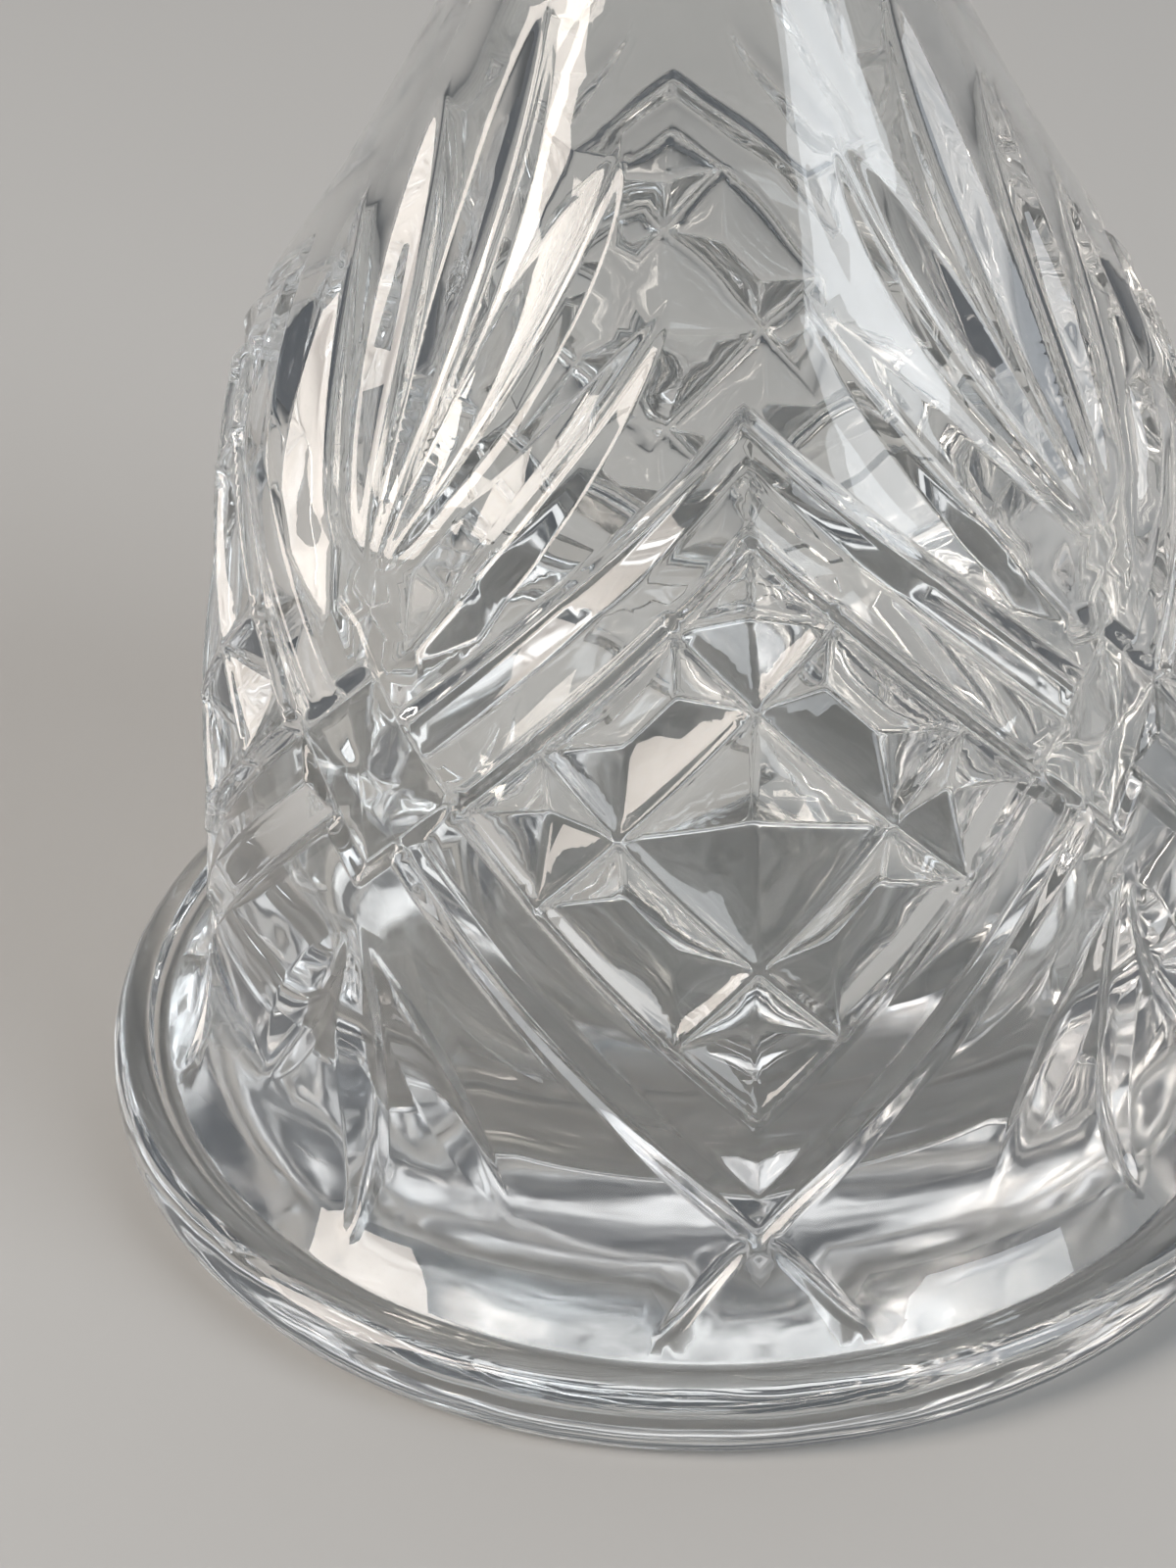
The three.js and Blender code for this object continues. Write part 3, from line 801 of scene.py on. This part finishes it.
def ball_planes():
    """The turn, tilt and distance of each plane on the ball: a table and three rows of facets."""
    turn = 360 / BALL_FACETS
    planes = [(0, 90, BALL_TABLE)]
    for i in range(BALL_FACETS):
        planes.append((turn * (i + 0.5), 0, BALL_FACET))
        planes.append((turn * i, BALL_TILT, BALL_FACET))
        planes.append((turn * i, -BALL_TILT, BALL_FACET))
    return planes


def faceted_ball(middle):
    """The stopper's ball in metres: planes ground on a block, with softened edges."""
    ball = bmesh.new()
    bmesh.ops.create_cube(ball, size=BALL * BALL_BLANK)
    for turn, tilt, distance in ball_planes():
        a, e = math.radians(turn), math.radians(tilt)
        normal = Vector((math.cos(a) * math.cos(e), math.sin(a) * math.cos(e), math.sin(e)))
        every = ball.verts[:] + ball.edges[:] + ball.faces[:]
        cut = bmesh.ops.bisect_plane(ball, geom=every, dist=1e-5, plane_co=normal * BALL * distance,
                                     plane_no=normal, clear_outer=True)
        edges = [item for item in cut["geom_cut"] if isinstance(item, bmesh.types.BMEdge)]
        bmesh.ops.edgeloop_fill(ball, edges=edges)
    bmesh.ops.dissolve_limit(ball, angle_limit=0.01, verts=ball.verts, edges=ball.edges)
    bmesh.ops.bevel(ball, geom=ball.edges[:], offset=BALL_EDGE, segments=3, profile=0.5, affect="EDGES")
    bmesh.ops.translate(ball, verts=ball.verts, vec=(0, 0, middle))
    bmesh.ops.scale(ball, verts=ball.verts, vec=(METRE, METRE, METRE))
    mesh = bpy.data.meshes.new("ball")
    ball.to_mesh(mesh)
    ball.free()
    return mesh


def stopper_stem(seat, foot, top, middle):
    """The shank, collar and stem as one outline, from the shank's foot up to inside the ball."""
    shank = BORE - FIN_REACH - SLEEVE_WALL - 2 * CLEARANCE
    collar = shank + COLLAR_REACH
    side = (collar, seat + COLLAR / 2)
    shoulder = (collar - COLLAR_SHOULDER, seat + COLLAR)
    inside = middle - BALL * STEM_END
    return np.vstack([
        [(0, foot), (shank - SHANK_ROUNDING, foot)],
        bend((shank - SHANK_ROUNDING, foot), (shank, foot), (shank, foot + SHANK_ROUNDING), steps=5),
        [(shank, seat - COLLAR_FILLET)],
        bend((shank, seat - COLLAR_FILLET), (shank, seat), (shank + COLLAR_FILLET, seat), steps=4),
        [(collar - COLLAR_UNDERSIDE, seat)],
        bend((collar - COLLAR_UNDERSIDE, seat), (collar, seat), side, steps=6),
        bend(side, (collar, seat + COLLAR), shoulder, steps=6),
        bend(shoulder, (STEM, seat + COLLAR), (STEM, top), steps=8),
        [(STEM, inside), (0, inside)],
    ])


def union(meshes, name):
    """One mesh of two closed ones that meet."""
    parts = [bpy.data.objects.new(mesh.name, mesh) for mesh in meshes]
    for part in parts:
        bpy.context.scene.collection.objects.link(part)
    join = parts[0].modifiers.new("join", "BOOLEAN")
    join.operation = "UNION"
    join.solver = "EXACT"
    join.object = parts[1]
    graph = bpy.context.evaluated_depsgraph_get()
    mesh = bpy.data.meshes.new_from_object(parts[0].evaluated_get(graph))
    mesh.name = name
    for part in parts:
        bpy.data.objects.remove(part)
    return mesh


def stopper_mesh():
    """The stopper: its faceted ball and its turned stem, made one."""
    seat = MOUTH + FLANGE + 2 * CLEARANCE
    foot = MOUTH - SLEEVE_LENGTH - SHANK_OVERHANG
    top = seat + COLLAR + STEM_HEIGHT
    middle = top + BALL * BALL_FACET * BALL_SEAT
    ball = faceted_ball(middle)
    stem = Builder()
    stem.lathe(stopper_stem(seat, foot, top, middle), columns=96)
    mesh = union((ball, stem.mesh("stem")), "stopper_glass")
    mesh.polygons.foreach_set("use_smooth", [True] * len(mesh.polygons))
    mesh.set_sharp_from_angle(angle=math.radians(28))
    return mesh


def sleeve_outline():
    """The sleeve's closed outline, up its outside over the fins and down its inside."""
    outer = BORE - CLEARANCE - FIN_REACH
    inner = outer - SLEEVE_WALL
    seat = MOUTH + CLEARANCE
    foot = seat - SLEEVE_LENGTH
    rim = outer + FLANGE_REACH - FLANGE_CHAMFER
    top = seat + FLANGE
    start = (inner, foot + SLEEVE_CHAMFER)
    outline = [[start, (inner + SLEEVE_CHAMFER, foot), (outer - SLEEVE_WALL / 2, foot)]]
    for i in range(FIN_COUNT):
        middle = foot + FIN_PITCH * (i + 0.5) + FIN
        fin_foot, fin_top = (outer, middle - FIN / 2), (outer, middle + FIN / 2)
        outline.append([fin_foot])
        outline.append(bend(fin_foot, (outer + FIN_REACH * 2, middle), fin_top, steps=8))
    bulge = (rim + FLANGE_CHAMFER + FLANGE_BULGE, seat + FLANGE / 2)
    outline.append([(outer, seat - FLANGE_CHAMFER), (outer + FLANGE_CHAMFER, seat), (rim, seat)])
    outline.append(bend((rim, seat), bulge, (rim, top), steps=6))
    outline.append([(inner + FLANGE_CHAMFER, top), (inner, top - FLANGE_CHAMFER), start])
    return np.vstack(outline)


def sleeve_mesh():
    """The sleeve, turned from its outline."""
    builder = Builder()
    builder.lathe(sleeve_outline(), columns=128)
    mesh = builder.mesh("sleeve_plastic")
    mesh.set_sharp_from_angle(angle=math.radians(35))
    return mesh


def new_material(name):
    """A material with its nodes, its links and its main shader."""
    material = bpy.data.materials.new(name)
    material.use_nodes = True
    nodes = material.node_tree.nodes
    return material, nodes, material.node_tree.links, nodes["Principled BSDF"]


def noise(nodes, links, coordinates, scale, detail):
    """A value that wanders smoothly over the piece."""
    texture = nodes.new("ShaderNodeTexNoise")
    texture.inputs["Scale"].default_value = scale
    texture.inputs["Detail"].default_value = detail
    links.new(coordinates.outputs["Object"], texture.inputs["Vector"])
    return texture.outputs["Fac"]


def ranged(nodes, links, source, low, high):
    """A value that follows a noise between two ends."""
    spread = nodes.new("ShaderNodeMapRange")
    spread.inputs["From Min"].default_value = NOISE_RANGE[0]
    spread.inputs["From Max"].default_value = NOISE_RANGE[1]
    spread.inputs["To Min"].default_value = low
    spread.inputs["To Max"].default_value = high
    links.new(source, spread.inputs["Value"])
    return spread.outputs["Result"]


def below(nodes, links, source, edge):
    """1 where a length is well under an edge in millimetres, and 0 over it."""
    fade = nodes.new("ShaderNodeMapRange")
    fade.inputs["From Min"].default_value = edge * METRE
    fade.inputs["From Max"].default_value = (edge - BASE_BLEND) * METRE
    links.new(source, fade.inputs["Value"])
    return fade.outputs["Result"]


def underside(nodes, links, place):
    """1 on the decanter's hollow base and the ring's inner edge, which are less smooth, and 0 elsewhere."""
    flat = nodes.new("ShaderNodeVectorMath")
    flat.operation = "MULTIPLY"
    flat.inputs[1].default_value = (1, 1, 0)
    links.new(place.outputs["Object"], flat.inputs[0])
    radius = nodes.new("ShaderNodeVectorMath")
    radius.operation = "LENGTH"
    links.new(flat.outputs["Vector"], radius.inputs[0])
    height = nodes.new("ShaderNodeSeparateXYZ")
    links.new(place.outputs["Object"], height.inputs["Vector"])
    both = nodes.new("ShaderNodeMath")
    both.operation = "MULTIPLY"
    links.new(below(nodes, links, radius.outputs["Value"], BASE_RADIUS), both.inputs[0])
    links.new(below(nodes, links, height.outputs["Z"], BASE_HEIGHT), both.inputs[1])
    return both.outputs["Value"]


def crystal(name, waviness):
    """Clear crystal: slight waves of the pressing, faint wipe marks in its gloss and a trace of cool grey."""
    material, nodes, links, shader = new_material(name)
    shader.inputs["IOR"].default_value = CRYSTAL_INDEX
    shader.inputs["Transmission Weight"].default_value = 1
    place = nodes.new("ShaderNodeTexCoord")
    wipes = ranged(nodes, links, noise(nodes, links, place, scale=45, detail=6), *CRYSTAL_ROUGHNESS)
    scratches = ranged(nodes, links, noise(nodes, links, place, scale=400, detail=3), *BASE_ROUGHNESS)
    gloss = nodes.new("ShaderNodeMix")
    links.new(underside(nodes, links, place), gloss.inputs["Factor"])
    links.new(wipes, gloss.inputs["A"])
    links.new(scratches, gloss.inputs["B"])
    links.new(gloss.outputs["Result"], shader.inputs["Roughness"])
    tint = nodes.new("ShaderNodeMix")
    tint.data_type = "RGBA"
    tint.inputs["A"].default_value, tint.inputs["B"].default_value = CRYSTAL_TINTS
    links.new(noise(nodes, links, place, scale=14, detail=2), tint.inputs["Factor"])
    links.new(tint.outputs["Result"], shader.inputs["Base Color"])
    bump = nodes.new("ShaderNodeBump")
    bump.inputs["Strength"].default_value = 1
    bump.inputs["Distance"].default_value = waviness
    links.new(noise(nodes, links, place, scale=90, detail=1), bump.inputs["Height"])
    links.new(bump.outputs["Normal"], shader.inputs["Normal"])
    return material


def let_lamps_through(nodes, links, shader):
    """The piece casts a pale shadow, so that what lies inside it is lit."""
    path = nodes.new("ShaderNodeLightPath")
    passing = nodes.new("ShaderNodeBsdfTransparent")
    passing.inputs["Color"].default_value = PLASTIC_SHADOW
    choice = nodes.new("ShaderNodeMixShader")
    links.new(path.outputs["Is Shadow Ray"], choice.inputs["Fac"])
    links.new(shader.outputs["BSDF"], choice.inputs[1])
    links.new(passing.outputs["BSDF"], choice.inputs[2])
    links.new(choice.outputs["Shader"], nodes["Material Output"].inputs["Surface"])


def clear_plastic():
    """The sleeve's slightly satin clear plastic, with a faint mist in its gloss."""
    material, nodes, links, shader = new_material("clear_plastic")
    shader.inputs["IOR"].default_value = PLASTIC_INDEX
    shader.inputs["Transmission Weight"].default_value = PLASTIC_CLEARNESS
    shader.inputs["Base Color"].default_value = PLASTIC_COLOUR
    place = nodes.new("ShaderNodeTexCoord")
    mist = ranged(nodes, links, noise(nodes, links, place, scale=300, detail=4), *PLASTIC_ROUGHNESS)
    links.new(mist, shader.inputs["Roughness"])
    let_lamps_through(nodes, links, shader)
    return material


def object_of(mesh, body, node, material):
    """A piece that stands for a CAD node, rides on its body and carries a material."""
    piece = bpy.data.objects.new(mesh.name, mesh)
    bpy.context.scene.collection.objects.link(piece)
    mesh.materials.append(material)
    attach(piece, body)
    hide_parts(node)


def floor():
    """A plain pale floor that keeps the object's shadow."""
    material, _, _, shader = new_material("pale_floor")
    shader.inputs["Base Color"].default_value = FLOOR_COLOUR
    shader.inputs["Roughness"].default_value = FLOOR_ROUGHNESS
    mesh = bpy.data.meshes.new("floor")
    shape = bmesh.new()
    bmesh.ops.create_grid(shape, x_segments=1, y_segments=1, size=FLOOR_SIZE)
    shape.to_mesh(mesh)
    shape.free()
    mesh.materials.append(material)
    ground = bpy.data.objects.new("floor", mesh)
    ground.location.z = -FLOOR_GAP
    bpy.context.scene.collection.objects.link(ground)


def softbox(name, place, size, colour, power):
    """A soft lamp aimed at the decanter's shoulder."""
    lamp = bpy.data.lights.new(name, "AREA")
    lamp.shape = "RECTANGLE"
    lamp.size, lamp.size_y = size
    lamp.color = colour
    lamp.energy = power
    lamp.spread = math.radians(LAMP_SPREAD)
    holder = bpy.data.objects.new(name, lamp)
    holder.location = place
    aim = Vector((0, 0, SHOULDER_HEIGHT * METRE)) - Vector(place)
    holder.rotation_mode = "QUATERNION"
    holder.rotation_quaternion = aim.to_track_quat("-Z", "Y")
    bpy.context.scene.collection.objects.link(holder)


def light():
    """Three soft lamps in a dim, even room."""
    softbox("key", place=(-1.53, -0.44, 0.94), size=(0.76, 1.53), colour=(1, 0.9, 0.81), power=11.5)
    softbox("fill", place=(1.28, -1.02, 0.94), size=(1.02, 1.36), colour=(0.9, 0.95, 1), power=6.3)
    softbox("back", place=(0.17, 1.1, 1.95), size=(2.7, 1.5), colour=(1, 1, 1), power=3.6)
    world = bpy.data.worlds.new("studio")
    world.use_nodes = True
    world.node_tree.nodes["Background"].inputs["Color"].default_value = ROOM_COLOUR
    world.node_tree.nodes["Background"].inputs["Strength"].default_value = ROOM_STRENGTH
    bpy.context.scene.world = world


def camera():
    """The photograph's camera: its place and tilt come from the foot, the silhouettes and the diamond."""
    data = bpy.data.cameras.new("camera")
    data.sensor_width = CAMERA_SENSOR
    data.lens = CAMERA_SENSOR * CAMERA_FOCAL_PIXELS / PHOTO_HEIGHT_PIXELS
    data.shift_x = CAMERA_SHIFT
    view = bpy.data.objects.new("camera", data)
    tilt = math.radians(CAMERA_TILT)
    height = CAMERA_AIM + CAMERA_DISTANCE * math.sin(tilt)
    place = Vector((CAMERA_ASIDE, -CAMERA_DISTANCE * math.cos(tilt), height))
    turn = Matrix.Rotation(math.radians(CAMERA_TURN), 4, "Z")
    look = Matrix.Rotation(math.pi / 2 - tilt, 4, "X") @ Matrix.Rotation(math.radians(CAMERA_ROLL), 4, "Z")
    view.matrix_world = turn @ Matrix.Translation(place * METRE) @ look
    bpy.context.scene.collection.objects.link(view)
    bpy.context.scene.camera = view


camera()
floor()
light()
body_glass = crystal("crystal", BODY_WAVES)
object_of(body_mesh(), "decanter", "decanter_body", body_glass)
object_of(sleeve_mesh(), "sleeve", "stopper_sleeve", clear_plastic())
object_of(stopper_mesh(), "stopper", "stopper", crystal("stopper_crystal", STOPPER_WAVES))

paths = bpy.context.scene.cycles
paths.max_bounces = paths.transmission_bounces = paths.glossy_bounces = GLASS_BOUNCES
paths.caustics_refractive = paths.caustics_reflective = True
bpy.context.scene.view_settings.view_transform = "Standard"
